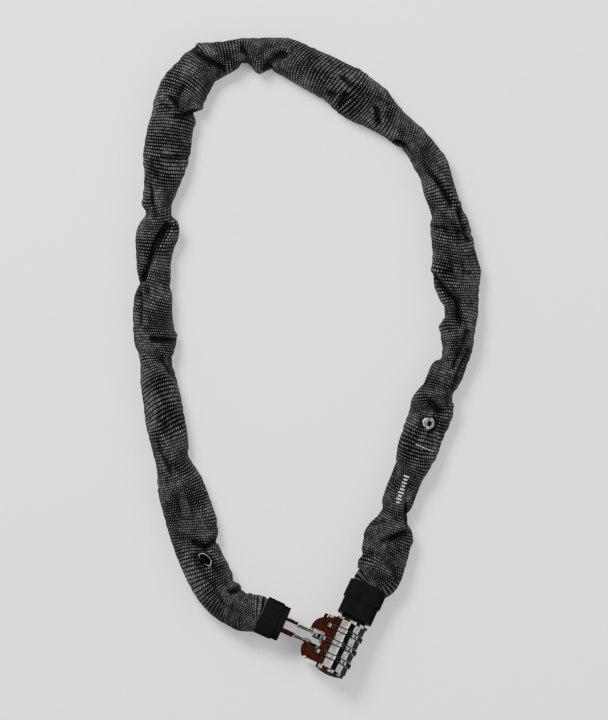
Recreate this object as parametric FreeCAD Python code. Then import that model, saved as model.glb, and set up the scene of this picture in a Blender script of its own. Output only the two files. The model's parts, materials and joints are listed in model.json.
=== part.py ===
import FreeCAD, Part
import math
import os
from FreeCAD import Vector, Placement, Rotation, Matrix

# Combination chain lock, closed, lying flat on the XY plane.  Millimetres, +Z up.
# The origin is under the middle of the object, on the surface that it lies on.

# ---------------------------------------------------------------- driving dimensions
# Lock head, in its own frame: u across the head (the way the bolt goes in),
# v out of its front, w along the dial axis towards the end cap.
head_x = 23.3
head_y = -158.8
head_height = 15.9            # dial axis above the surface, at the flange
head_turn = -24.9             # turn of u about Z, degrees
head_tilt = 9.0               # dial axis rises towards the end cap, degrees

body_radius = 13.5
body_start = 0.7
body_end = 31.0
ear_left = -18.0
ear_slope = 18.0              # degrees, front faces of the ears fall away to the left
ear_corner = 8.0
ear_taper_from = -4.5         # the flange side of the ears slants back from here
ear_taper = 20.0              # degrees
body_back = -11.0
side_axis = 4.0               # u of the flange, the right collar and the end cap
mouth_low = 12.3
mouth_high = 22.6
mouth_floor = -5.2

dial_places = (7.1, 15.6, 24.2)
dial_radius = 14.4
dial_thickness = 3.0
dial_slot = 3.8
dial_slot_radius = 15.0
dial_pads = 10
hub_outer = 7.4
hub_half_length = 1.7
hub_web = 0.7
hub_recess = 6.5
tube_outer = 5.2
tube_inner = 3.1
run_gap = 0.05

spindle_radius = 3.05
neck_radius = 1.6
neck_length = 3.1
fin_thickness = 0.7
fin_radius = 6.1
fin_width = 1.2

bolt_w = 17.4                 # w of the bolt axis
bolt_radius = 4.2
bolt_shank = 4.75             # half width of the square shank
bolt_chamfer = 2.4
bolt_groove = 0.8             # width of the groove between shank and cylinder
bolt_shank_start = -33.0
bolt_cylinder_start = -24.7
bolt_cylinder_end = -9.9
tongue_low = 19.0
tongue_high = 20.6
channel_low = 18.75
channel_high = 21.55
tongue_end = 6.0
tongue_half = 4.2
fork_half = 1.85
lock_hole = 3.25

flange_radius = 10.3
cap_radius = 9.2
cap_u = 3.6

# Collars: (start, end, radius) of each step, measured from the metal towards the sleeve
right_steps = ((1.2, 3.6, 7.9), (3.6, 14.2, 11.2), (14.2, 25.4, 12.1))
left_steps = ((0.0, 4.4, 10.9), (4.4, 15.2, 11.75))
collar_bore = 9.4
link_slot = 3.6
right_pin_depth = 19.6
left_pin_depth = 9.5
pin_radius = 1.9

# Chain
wire = 2.5                    # radius of the link's round wire
link_bend = 5.7               # radius of the wire's centre line round a link's end
link_play = 0.5               # a link's wire sits this far from its neighbour's end centre
flat_span = 23.625            # distance between the end centres of one link
chain_height = 11.0
link_count = 27
hinge_links = (3, 5, 9, 13, 17, 21, 24)     # the chain opens after these links
sleeve_gap = 4.6

# Sleeve
sleeve_radius = 12.2
sleeve_wall = 1.2
coil_sides = 12               # straight lengths in one turn of a spring
snap_radius = 3.6
snap_hole = 1.9
snap_height = 1.0

# Middle line of the sleeve, from the right collar to the left one
route = (
    (42.3, -128.0), (47.0, -112.0), (51.6, -96.0), (57.5, -79.0), (65.4, -58.8), (73.5, -36.0),
    (80.0, -16.0), (88.6, 5.0), (93.0, 30.0), (90.6, 58.8), (85.6, 86.0), (78.4, 109.0),
    (62.6, 133.0), (41.0, 152.7), (17.6, 168.5), (-10.3, 181.6), (-37.6, 185.0), (-62.0, 177.0),
    (-76.6, 158.2), (-82.6, 136.0), (-87.3, 111.5), (-90.5, 84.2), (-92.9, 57.0), (-93.3, 29.0),
    (-91.3, -1.0), (-86.4, -33.0), (-80.8, -62.4), (-73.8, -89.0), (-66.6, -114.0),
    (-57.0, -136.0), (-44.0, -150.5),
)

os.makedirs("parts", exist_ok=True)


# ---------------------------------------------------------------- helpers
def save(shape, name):
    shape.exportStep("parts/" + name + ".step")


def box(u0, u1, v0, v1, w0, w1):
    return Part.makeBox(u1 - u0, v1 - v0, w1 - w0, Vector(u0, v0, w0))


def rod(radius, start, end):
    """Cylinder between two points."""
    way = end.sub(start)
    return Part.makeCylinder(radius, way.Length, start, way)


def along_w(radius, w0, w1, u=0.0, v=0.0):
    return rod(radius, Vector(u, v, w0), Vector(u, v, w1))


def along_u(radius, u0, u1, w):
    return rod(radius, Vector(u0, 0, w), Vector(u1, 0, w))


def ring_w(outer, inner, w0, w1, u=0.0):
    return along_w(outer, w0, w1, u).cut(along_w(inner, w0 - 1, w1 + 1, u))


def coil(mean_radius, wire_radius, pitch, length, start):
    """Helical spring along w, wound from short straight lengths of round wire."""
    steps = int(round(coil_sides * length / pitch))
    turn = 2 * math.pi / coil_sides
    points = [Vector(mean_radius * math.cos(index * turn), mean_radius * math.sin(index * turn),
                     index * length / steps).add(start) for index in range(steps + 1)]
    path = Part.makePolygon(points)
    profile = Part.Wire(Part.makeCircle(wire_radius, points[0], points[1].sub(points[0])))
    return path.makePipeShell([profile], True, False, 1)


def head_placement():
    turn = Rotation(Vector(0, 0, 1), head_turn)
    tilt = Rotation(Vector(1, 0, 0), 90 - head_tilt)      # w points to -Y and rises
    return Placement(Vector(head_x, head_y, head_height), turn * tilt)


head = head_placement()


def save_head(shape, name):
    """Places a shape of the head's own frame on the object and writes it."""
    placed = shape.copy()
    placed.transformShape(head.toMatrix(), True)
    save(placed, name)


# ---------------------------------------------------------------- lock head
def ear_taper_wedge():
    """What is cut off the ears beside the flange, so that they slant back."""
    far = 2 * ear_left
    slant = (ear_taper_from - far) * math.tan(math.radians(ear_taper))
    outline = [Vector(ear_taper_from, far, body_start), Vector(far, far, body_start + slant),
               Vector(far, far, -5), Vector(ear_taper_from, far, -5)]
    return Part.Face(Part.makePolygon(outline + [outline[0]])).extrude(Vector(0, -2 * far, 0))


def make_housing():
    """Round body with two flat-faced ears on its left, slotted for the dials and open for the bolt."""
    slope = math.tan(math.radians(ear_slope))
    lean = math.radians(90 + ear_slope)
    tangent = Vector(body_radius * math.cos(lean), body_radius * math.sin(lean), 0)
    left_top = tangent.y - (tangent.x - ear_left) * slope
    outline = [Vector(0, body_back, 0), Vector(ear_left + 3, body_back, 0),
               Vector(ear_left, body_back + 3, 0), Vector(ear_left, left_top, 0), tangent,
               Vector(0, 0, 0)]
    ears = Part.Face(Part.makePolygon(outline + [outline[0]])).extrude(Vector(0, 0, body_end - body_start))
    ears.translate(Vector(0, 0, body_start))
    ears = ears.cut(ear_taper_wedge())
    corners = [edge for edge in ears.Edges
               if abs(edge.CenterOfMass.x - ear_left) < 0.1 and edge.Length > 8
               and abs(edge.Vertexes[0].Z - edge.Vertexes[1].Z) < 0.1]
    ears = ears.makeFillet(ear_corner, corners)
    body = ears.fuse(along_w(body_radius, body_start, body_end))
    body = body.cut(box(-20, 20, -20, body_back, 0, 40))
    for place in dial_places:
        half = dial_slot / 2
        body = body.cut(along_w(dial_slot_radius, place - half, place + half))
    body = body.cut(box(ear_left - 1, -8.5, mouth_floor, 20, mouth_low, mouth_high))
    body = body.cut(box(ear_left - 1, tongue_end + 1.5, -5.0, 5.0, channel_low, channel_high))
    body = body.cut(along_w(tube_outer, 0, 40))
    for place in dial_places:
        body = body.cut(along_w(0.85, place + dial_slot / 2 - 0.1, place + dial_slot / 2 + 2.4, 0, 9.8))
    return body.removeSplitter()


def make_tube():
    tube = ring_w(tube_outer, tube_inner, body_start, body_end - 1)
    tube = tube.cut(box(-7, 0, -0.8, 0.8, 3.0, 28.5))
    tube = tube.cut(box(-7, 7, -4.5, 4.5, channel_low, channel_high))
    return tube


def make_spindle():
    """Rod with a neck at the tongue and one fin at each dial; drawn released."""
    neck_mid = (channel_low + channel_high) / 2
    low = neck_mid - neck_length / 2
    high = neck_mid + neck_length / 2
    spindle = along_w(spindle_radius, 3.4, low).fuse(along_w(neck_radius, low - 0.5, high + 0.5))
    spindle = spindle.fuse(along_w(spindle_radius, high, 27.4))
    offset = hub_web / 2 + 0.35 + fin_thickness / 2
    for place in dial_places:
        middle = place + offset
        spindle = spindle.fuse(box(-fin_radius, -2, -fin_width / 2, fin_width / 2,
                                   middle - fin_thickness / 2, middle + fin_thickness / 2))
    return spindle.removeSplitter()


def make_dial(place):
    low = place - dial_thickness / 2
    high = place + dial_thickness / 2
    dial = ring_w(dial_radius, hub_outer, low, high)
    dial = dial.makeChamfer(0.35, [edge for edge in dial.Edges
                                   if edge.Curve.TypeId == "Part::GeomCircle"
                                   and edge.Curve.Radius > hub_outer + 1])
    for index in range(dial_pads):
        angle = (index + 0.5) * 360.0 / dial_pads
        groove = box(dial_radius - 1.1, dial_radius + 1, -1.5, 1.5, low - 1, high + 1)
        groove.rotate(Vector(0, 0, 0), Vector(0, 0, 1), angle)
        dial = dial.cut(groove)
    return dial


def make_hub(place):
    hub = ring_w(hub_outer, hub_recess, place - hub_half_length, place + hub_half_length)
    hub = hub.fuse(ring_w(hub_outer, tube_outer + run_gap, place - hub_web / 2, place + hub_web / 2))
    gate = box(-fin_radius - 0.3, 0, -fin_width / 2 - 0.2, fin_width / 2 + 0.2, place - 1, place + 1)
    return hub.cut(gate).removeSplitter()


def make_bolt():
    cylinder = along_u(bolt_radius, bolt_cylinder_start, bolt_cylinder_end, bolt_w)
    groove_start = bolt_cylinder_start - bolt_groove
    groove = along_u(bolt_radius - 0.8, groove_start, bolt_cylinder_start, bolt_w)
    half = bolt_shank
    shank = box(bolt_shank_start - 15, groove_start, -half, half, bolt_w - half, bolt_w + half)
    shank = shank.makeChamfer(bolt_chamfer, [edge for edge in shank.Edges if edge.Length > 20])
    shank = shank.cut(box(bolt_shank_start - 16, bolt_shank_start - 0.8, -link_slot, link_slot,
                          bolt_w - 10, bolt_w + 10))
    tongue = box(bolt_cylinder_end - 4, tongue_end, -tongue_half, tongue_half, tongue_low, tongue_high)
    tongue = tongue.cut(along_w(lock_hole, tongue_low - 1, tongue_high + 1))
    tongue = tongue.cut(box(0, tongue_end + 1, -fork_half, fork_half, tongue_low - 1, tongue_high + 1))
    bolt = shank.fuse([groove, cylinder, tongue])
    slot_low = dial_places[1] - dial_slot / 2
    slot_high = dial_places[1] + dial_slot / 2
    bolt = bolt.cut(box(-15.2, 0, -10, 10, slot_low, slot_high))
    bolt = bolt.cut(box(-15.2, 0, -10, 10, slot_low - 6, slot_low))
    bolt = bolt.cut(left_pin_rod(20))
    return bolt.removeSplitter()


def make_cap():
    cap = along_w(cap_radius, body_end, body_end + 1.6, cap_u)
    dome = Part.makeSphere(22, Vector(cap_u, 0, body_end + 3.0 - 22))
    cap = cap.fuse(along_w(cap_radius - 1.0, body_end, body_end + 3.0, cap_u)).common(
        dome.fuse(along_w(cap_radius, body_end, body_end + 1.6, cap_u)))
    plug = along_w(tube_outer, body_end - 1, body_end)
    return cap.fuse(plug).removeSplitter()


def make_detents():
    balls = [Part.makeSphere(0.8, Vector(0, 9.8, place + dial_slot / 2 + 0.75)) for place in dial_places]
    springs = [coil(0.5, 0.12, 0.35, 0.7, Vector(0, 9.8, place + dial_slot / 2 + 1.62))
               for place in dial_places]
    return Part.makeCompound(balls), Part.makeCompound(springs)


# ---------------------------------------------------------------- collars and what is inside them
def make_right_collar():
    """Stepped plastic collar under the flange, opening towards the sleeve."""
    steps = [along_w(radius, -end, -start, side_axis) for start, end, radius in right_steps]
    collar = steps[0].fuse(steps[1:])
    end = right_steps[-1][1]
    collar = collar.cut(along_w(collar_bore, -end - 1, -8.5, side_axis))
    collar = collar.cut(along_w(3.5, -10, 0, side_axis))
    return collar.cut(right_pin_rod(20)).removeSplitter()


def make_right_anchor():
    """Metal stud screwed into the head, with a clevis for the last link."""
    anchor = along_w(3.5, -10, body_start, side_axis)
    anchor = anchor.fuse(along_w(collar_bore, -23.4, -8.5, side_axis))
    anchor = anchor.cut(box(side_axis - 10, side_axis + 10, -link_slot, link_slot, -24, -10.8))
    return anchor.cut(right_pin_rod(20)).removeSplitter()


def left_pin_rod(reach):
    place = bolt_shank_start - left_pin_depth
    return rod(pin_radius, Vector(place, -reach, bolt_w), Vector(place, reach, bolt_w))


def right_pin_rod(reach):
    return rod(pin_radius, Vector(side_axis, -reach, -right_pin_depth), Vector(side_axis, reach, -right_pin_depth))


def make_left_collar():
    start = bolt_shank_start
    steps = [along_u(radius, start - end, start - begin, bolt_w) for begin, end, radius in left_steps]
    collar = steps[0].fuse(steps[1:])
    half = bolt_shank
    hole = box(start - 40, start + 1, -half, half, bolt_w - half, bolt_w + half)
    hole = hole.makeChamfer(bolt_chamfer, [edge for edge in hole.Edges if edge.Length > 20])
    collar = collar.cut(hole)
    collar = collar.cut(along_u(collar_bore, start - 30, start - 2.0, bolt_w))
    return collar.cut(left_pin_rod(20)).removeSplitter()


# ---------------------------------------------------------------- chain
def make_link(start, end, upright):
    """One link of round wire; start and end are the centres of its two bends."""
    way = end.sub(start)
    span = way.Length
    pieces = []
    for side in (-1, 1):
        pieces.append(rod(wire, Vector(0, side * link_bend, 0), Vector(span, side * link_bend, 0)))
    for centre, turn in ((0.0, 90), (span, -90)):
        circle = Part.Face(Part.Wire(Part.makeCircle(wire, Vector(0, link_bend, 0), Vector(1, 0, 0))))
        bend = circle.revolve(Vector(0, 0, 0), Vector(0, 0, 1), 180 if turn > 0 else -180)
        bend.translate(Vector(centre, 0, 0))
        pieces.append(bend)
    link = pieces[0].fuse(pieces[1:]).removeSplitter()
    forward = Vector(way).normalize()
    across = Vector(0, 0, 1).cross(forward).normalize()
    up = forward.cross(across)
    y_axis, z_axis = (up, across * -1) if upright else (across, up)
    matrix = Matrix(forward.x, y_axis.x, z_axis.x, start.x,
                    forward.y, y_axis.y, z_axis.y, start.y,
                    forward.z, y_axis.z, z_axis.z, start.z, 0, 0, 0, 1)
    link.transformShape(matrix, True)
    return link


def walk_route(first, count):
    """Centres of the flat links' bends, stepped along the route from the right pin."""
    points = [Vector(first.x, first.y, chain_height)]
    points += [Vector(x, y, chain_height) for x, y in route]
    last = head.multVec(Vector(bolt_shank_start - left_pin_depth, 0, bolt_w))
    points.append(Vector(last.x, last.y, chain_height))
    curve = Part.BSplineCurve()
    curve.interpolate(points)
    low, high = curve.FirstParameter, curve.LastParameter
    fine = [curve.value(low + (high - low) * index / 4000.0) for index in range(4001)]
    centres = [fine[0]]
    place = 0
    for index in range(count):
        span = flat_span if index % 2 == 0 else flat_span + 2 * (link_bend + link_play)
        while place < len(fine) - 1 and fine[place].distanceToPoint(centres[-1]) < span:
            place += 1
        way = fine[place].sub(centres[-1]).normalize()
        centres.append(centres[-1].add(way * span))
    return centres, last


right_pin = head.multVec(Vector(side_axis, 0, -right_pin_depth))
joints, left_pin = walk_route(right_pin, link_count)
joints[0].z = right_pin.z
print("last link ends", [round(value, 2) for value in joints[-1].sub(left_pin)], "mm from the left pin")
joints[-1].z = left_pin.z
for joint, share in ((joints[-2], 0.86), (joints[-3], 0.36), (joints[-4], 0.1)):
    joint.z = chain_height + share * (left_pin.z - chain_height)


def make_links():
    for index in range(link_count):
        start, end = joints[index], joints[index + 1]
        upright = index % 2 == 1
        if upright:
            way = end.sub(start).normalize() * (link_bend + link_play)
            start, end = start.add(way), end.sub(way)
        save(make_link(start, end, upright), "chain_link_%02d" % (index + 1))


# ---------------------------------------------------------------- sleeve
def rounded_wire(points):
    """Straight runs joined by tangent arcs, as large as the runs allow."""
    edges = []
    previous = points[0]
    for before, corner, after in zip(points, points[1:], points[2:]):
        arrive = corner.sub(before)
        leave = after.sub(corner)
        cut = 0.45 * min(arrive.Length, leave.Length)
        one = corner.sub(Vector(arrive).normalize() * cut)
        two = corner.add(Vector(leave).normalize() * cut)
        middle = corner.add((one.add(two) * 0.5).sub(corner))
        half_turn = arrive.getAngle(leave) / 2
        radius = cut / math.tan(half_turn)
        reach = radius / math.cos(half_turn) - radius
        edges.append(Part.LineSegment(previous, one).toShape())
        inner = corner.add(middle.sub(corner).normalize() * reach)
        edges.append(Part.Arc(one, inner, two).toShape())
        previous = two
    edges.append(Part.LineSegment(previous, points[-1]).toShape())
    return Part.Wire(edges)


def tube_solid(path, radius):
    start = path.Edges[0].firstVertex().Point
    way = path.Edges[0].lastVertex().Point.sub(start)
    profile = Part.Wire(Part.makeCircle(radius, start, way))
    return path.makePipeShell([profile], True, False)


def make_sleeve(points):
    path = rounded_wire(points)
    outer = tube_solid(path, sleeve_radius)
    inner = tube_solid(path, sleeve_radius - sleeve_wall)
    below = box(-200, 200, -300, 300, -20, 0)
    low = box(-200, 200, -300, 300, -20, sleeve_wall)
    return outer.cut(below).cut(inner.cut(low))


def sleeve_ends():
    """Start and end of the sleeve, at the open faces of the two collars."""
    first = head.multVec(Vector(side_axis, 0, -right_steps[-1][1] - 1.5))
    last = head.multVec(Vector(bolt_shank_start - left_steps[-1][1] - 4.4, 0, bolt_w))
    return first, last


def make_sleeves():
    first, last = sleeve_ends()
    cuts = [0] + list(hinge_links) + [link_count]
    for number, (begin, end) in enumerate(zip(cuts, cuts[1:]), 1):
        inside = [Vector(point) for point in joints[begin:end + 1]]
        if begin == 0:
            inside[0] = first
        else:
            way = inside[1].sub(inside[0]).normalize()
            inside[0] = inside[0].add(way * (sleeve_gap / 2))
        if end == link_count:
            inside[-1] = last
        else:
            way = inside[-2].sub(inside[-1]).normalize()
            inside[-1] = inside[-1].add(way * (sleeve_gap / 2))
        save(make_sleeve(inside), "sleeve_%d" % number)


def make_snap(x, y, rise):
    """Ring of a snap fastener on top of the sleeve, open in the middle."""
    base = chain_height + sleeve_radius + rise + 0.05
    ring = Part.makeCylinder(snap_radius, snap_height, Vector(x, y, base))
    ring = ring.makeChamfer(0.3, [ring.Edges[0]])
    return ring.cut(Part.makeCylinder(snap_hole, snap_height, Vector(x, y, base + 0.4)))


# ---------------------------------------------------------------- assembly
save_head(make_housing(), "housing")
save_head(make_cap(), "end_cap")
save_head(ring_w(flange_radius, 3.5, -1.2, body_start, side_axis), "flange_washer")
save_head(make_tube(), "centre_tube")
save_head(make_spindle(), "spindle")
save_head(coil(2.0, 0.3, 0.95, 1.9, Vector(0, 0, 27.75)), "spindle_spring")
for number, place in enumerate(dial_places, 1):
    save_head(make_dial(place), "dial_%d" % number)
    save_head(make_hub(place), "dial_hub_%d" % number)
detent_balls, detent_springs = make_detents()
save_head(detent_balls, "detent_balls")
save_head(detent_springs, "detent_springs")
save_head(make_bolt(), "bolt")
save_head(make_right_collar(), "right_collar")
save_head(make_right_anchor(), "right_anchor")
save_head(make_left_collar(), "left_collar")
save_head(right_pin_rod(right_steps[-1][2] - 0.5), "right_pin")
save_head(left_pin_rod(left_steps[-1][2] - 0.5), "left_pin")
save(make_snap(73.8, -39.0, 0.0), "sleeve_snap_right")
save(make_snap(-61.5, -121.0, 3.6), "sleeve_snap_left")
make_links()
make_sleeves()
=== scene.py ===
import json
import math

import bpy
import numpy as np
from mathutils import Matrix, Vector
from mathutils.bvhtree import BVHTree


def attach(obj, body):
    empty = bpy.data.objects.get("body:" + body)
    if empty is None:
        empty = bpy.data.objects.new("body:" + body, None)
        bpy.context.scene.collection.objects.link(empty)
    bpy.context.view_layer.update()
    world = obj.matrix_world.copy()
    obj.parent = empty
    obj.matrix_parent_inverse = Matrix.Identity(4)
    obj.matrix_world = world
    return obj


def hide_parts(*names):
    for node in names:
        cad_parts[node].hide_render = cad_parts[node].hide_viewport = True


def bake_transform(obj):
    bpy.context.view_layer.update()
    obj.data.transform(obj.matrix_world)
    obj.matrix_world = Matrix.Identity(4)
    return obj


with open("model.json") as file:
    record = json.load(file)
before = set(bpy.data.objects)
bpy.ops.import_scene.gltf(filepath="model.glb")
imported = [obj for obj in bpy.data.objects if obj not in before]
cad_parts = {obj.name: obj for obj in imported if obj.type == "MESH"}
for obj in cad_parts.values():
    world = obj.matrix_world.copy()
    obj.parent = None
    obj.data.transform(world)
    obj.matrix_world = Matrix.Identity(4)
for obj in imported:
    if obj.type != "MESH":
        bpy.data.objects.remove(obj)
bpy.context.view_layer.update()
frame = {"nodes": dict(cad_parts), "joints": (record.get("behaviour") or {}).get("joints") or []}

# Metres, in the CAD model's frame: +X right, +Y towards the loop's far end, +Z up.
MM = 0.001


# ---------------------------------------------------------------- the head's own frame
def joint_named(name):
    return next(joint for joint in frame["joints"] if joint["name"] == name)


dial_places = (7.1, 15.6, 24.2)          # along the dial axis, millimetres
first_dial = joint_named("dial_1_turn")
axis_w = Vector(first_dial["axis"]).normalized()
axis_u = Vector((0, 0, 1)).cross(axis_w).normalized()
axis_v = axis_w.cross(axis_u).normalized()
if axis_v.z < 0:
    axis_u, axis_v = -axis_u, -axis_v
head_origin = Vector(first_dial["pos_m"]) - axis_w * dial_places[0] * MM


def head_point(u, v, w):
    """A point given in millimetres in the head's frame."""
    return head_origin + (axis_u * u + axis_v * v + axis_w * w) * MM


# ---------------------------------------------------------------- camera, floor and lights
view_centre = Vector((-1.8, -0.6, 11)) * MM
view_distance = 2.6
view_height = 720 * 0.606 * MM           # picture rows, by millimetres a row
sensor = 36.0
view_limit = 20                          # metres

floor_half = 12.0                        # metres
floor_drop = 0.2 * MM                    # the floor lies this far below the part
floor_grey = 0.9
world_colour = (0.68, 0.70, 0.72)
world_strength = 0.9

# Lights: name, place, what they face, size, watts.
lights = (
    ("key", (-0.55, 0.75, 1.3), (0, 0, 0), 0.6, 44),
    ("fill", (0.9, -0.3, 1.2), (0, 0, 0), 1.2, 14),
)

# Cards round the head: name, two leans in degrees, width, height, colour, strength.
brown = (0.075, 0.019, 0.010)
card_distance = 1.0
head_middle_w = 16                       # middle of the head along the dial axis, millimetres
cards = (
    ("brown_card", -44, 0, 0.95, 2.2, brown, 1.0),
    ("brown_card_far", 0, 77, 1.6, 0.42, brown, 0.6),
    ("brown_card_near", 0, -77, 1.6, 0.42, brown, 0.6),
    ("grey_card", 2, 0, 0.62, 1.3, (0.62, 0.61, 0.60), 1.0),
    ("white_card", 23, 0, 0.10, 2.2, (1, 1, 1), 1.7),
    ("black_card", 43, 0, 0.60, 3.0, (0.012, 0.012, 0.014), 1.0),
    ("dim_card", 72, 0, 0.50, 3.0, (0.56, 0.56, 0.57), 1.0),
)

# Flags on the floor: name, from u, to u, from w, to w in millimetres, colour, strength.
flag_lift = 0.6 * MM
flags = (
    ("dark_flag", 22, 500, -250, 250, (0.05, 0.045, 0.04), 1.0),
    ("brown_flag_far", -60, -16, -120, 10, brown, 0.6),
    ("brown_flag_near", -60, -16, 24, 400, brown, 0.6),
    ("cap_flag", -16, 22, 37, 400, (0.05, 0.045, 0.045), 1.0),
)


def make_camera():
    data = bpy.data.cameras.new("camera")
    data.sensor_width = sensor
    data.lens = sensor * view_distance / view_height
    data.clip_end = view_limit
    camera = bpy.data.objects.new("camera", data)
    camera.location = view_centre + Vector((0, 0, view_distance))
    bpy.context.scene.collection.objects.link(camera)
    bpy.context.scene.camera = camera


def add_area(name, location, target, size, power):
    data = bpy.data.lights.new(name, "AREA")
    data.shape = "DISK"
    data.size = size
    data.energy = power
    light = bpy.data.objects.new(name, data)
    light.location = location
    way = Vector(target) - Vector(location)
    light.rotation_euler = way.to_track_quat("-Z", "Y").to_euler()
    light.visible_glossy = False
    bpy.context.scene.collection.objects.link(light)


def new_material(name):
    material = bpy.data.materials.new(name)
    material.use_nodes = True
    return material, material.node_tree, material.node_tree.nodes["Principled BSDF"]


def add_quad(name, corners, material):
    """A flat four-cornered sheet of the studio."""
    mesh = bpy.data.meshes.new(name)
    mesh.from_pydata([tuple(corner) for corner in corners], [], [(0, 1, 2, 3)])
    mesh.materials.append(material)
    quad = bpy.data.objects.new(name, mesh)
    bpy.context.scene.collection.objects.link(quad)
    return quad


def make_floor():
    half = floor_half
    material, _, shader = new_material("floor_paper")
    shader.inputs["Base Color"].default_value = (floor_grey, floor_grey, floor_grey, 1)
    shader.inputs["Roughness"].default_value = 0.9
    corners = ((-half, -half, 0), (half, -half, 0), (half, half, 0), (-half, half, 0))
    floor = add_quad("floor", corners, material)
    floor.location.z = -floor_drop


def add_glow(name, corners, colour, strength):
    """A glowing sheet that only polished metal sees."""
    material, tree, _ = new_material(name)
    glow = tree.nodes.new("ShaderNodeEmission")
    glow.inputs["Color"].default_value = (*colour, 1)
    glow.inputs["Strength"].default_value = strength
    tree.links.new(glow.outputs["Emission"], tree.nodes["Material Output"].inputs["Surface"])
    sheet = add_quad(name, corners, material)
    sheet.visible_camera = False
    sheet.visible_diffuse = False
    sheet.visible_shadow = False
    return sheet


def card_corners(lean_u, lean_w, width, height):
    """Corners of a card that faces the head from two leans off straight up."""
    flat_w = Vector((axis_w.x, axis_w.y, 0)).normalized()
    way = Vector((0, 0, 1)) + axis_u * math.tan(math.radians(lean_u))
    way = (way + flat_w * math.tan(math.radians(lean_w))).normalized()
    middle = head_point(0, 0, head_middle_w) + way * card_distance
    across = axis_u.cross(way).normalized()
    side = way.cross(across).normalized() * -1
    return [middle + side * a * width / 2 + across * b * height / 2
            for a, b in ((-1, -1), (1, -1), (1, 1), (-1, 1))]


def flag_corners(u0, u1, w0, w1):
    """Corners of a flag lying on the floor, placed in the head's frame seen from above."""
    side = Vector((axis_u.x, axis_u.y, 0)).normalized() * MM
    run = Vector((axis_w.x, axis_w.y, 0)).normalized() * MM
    middle = Vector((head_origin.x, head_origin.y, flag_lift))
    return [middle + side * u + run * w for u, w in ((u0, w0), (u1, w0), (u1, w1), (u0, w1))]


def make_studio():
    world = bpy.data.worlds.new("studio")
    bpy.context.scene.world = world
    world.use_nodes = True
    background = world.node_tree.nodes["Background"]
    background.inputs["Color"].default_value = (*world_colour, 1)
    background.inputs["Strength"].default_value = world_strength
    for name, location, target, size, power in lights:
        add_area(name, location, target, size, power)
    for name, lean_u, lean_w, width, height, colour, strength in cards:
        card = add_glow(name, card_corners(lean_u, lean_w, width, height), colour, strength)
        card.visible_transmission = False
    for name, u0, u1, w0, w1, colour, strength in flags:
        flag = add_glow(name, flag_corners(u0, u1, w0, w1), colour, strength)


# ---------------------------------------------------------------- node helpers
def math_node(tree, operation, first, second=None):
    node = tree.nodes.new("ShaderNodeMath")
    node.operation = operation
    for socket, value in zip(node.inputs, (first, second)):
        if value is None:
            continue
        if isinstance(value, (int, float)):
            socket.default_value = value
        else:
            tree.links.new(value, socket)
    return node.outputs[0]


def noise_node(tree, vector, scale, detail=3.0, roughness=0.55):
    node = tree.nodes.new("ShaderNodeTexNoise")
    node.inputs["Scale"].default_value = scale
    node.inputs["Detail"].default_value = detail
    node.inputs["Roughness"].default_value = roughness
    tree.links.new(vector, node.inputs["Vector"])
    return node.outputs["Fac"]


def ramp(tree, value, low, high, to_low, to_high):
    node = tree.nodes.new("ShaderNodeMapRange")
    node.interpolation_type = "SMOOTHSTEP"
    tree.links.new(value, node.inputs["Value"])
    ends = (("From Min", low), ("From Max", high), ("To Min", to_low), ("To Max", to_high))
    for name, number in ends:
        node.inputs[name].default_value = number
    return node.outputs["Result"]


def mix_colour(tree, factor, first, second):
    node = tree.nodes.new("ShaderNodeMix")
    node.data_type = "RGBA"
    sockets = (node.inputs[0], node.inputs[6], node.inputs[7])
    for socket, value in zip(sockets, (factor, first, second)):
        if isinstance(value, tuple):
            socket.default_value = (*value, 1)
        elif isinstance(value, (int, float)):
            socket.default_value = value
        else:
            tree.links.new(value, socket)
    return node.outputs[2]


def add_bump(tree, shader, height, distance, strength=1.0):
    node = tree.nodes.new("ShaderNodeBump")
    node.inputs["Strength"].default_value = strength
    node.inputs["Distance"].default_value = distance
    tree.links.new(height, node.inputs["Height"])
    tree.links.new(node.outputs["Normal"], shader.inputs["Normal"])


def object_vector(tree):
    return tree.nodes.new("ShaderNodeTexCoord").outputs["Object"]


def vector_node(tree, operation, first, second):
    node = tree.nodes.new("ShaderNodeVectorMath")
    node.operation = operation
    tree.links.new(first, node.inputs[0])
    if second is not None:
        node.inputs[1].default_value = second
    return node


def sine_arch(tree, value):
    """Rises from 0 to 1 and back over each whole step of the value."""
    part = math_node(tree, "FRACT", value)
    return math_node(tree, "SINE", math_node(tree, "MULTIPLY", part, math.pi))


# ---------------------------------------------------------------- materials
thread_around = 1.5              # millimetres between threads round the sleeve
row_along = 2.0                  # millimetres between rows of the weave
row_wobble = 0.7                 # how far rows wander, in rows
dark_yarn = (0.0012, 0.0012, 0.0013)
light_yarn = (0.092, 0.092, 0.091)
groove_floor = 13.3 * MM         # distance of the dial grooves' floor from the dial axis
groove_paint = 0.5 * MM          # middle of the painted wall, out from the floor
groove_paint_half = 0.36 * MM
dial_half_thick = 1.5 * MM
rim_shade_half = 0.40 * MM
paint_edge = 0.08 * MM           # how softly the black paint and the painted rim shade end


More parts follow.
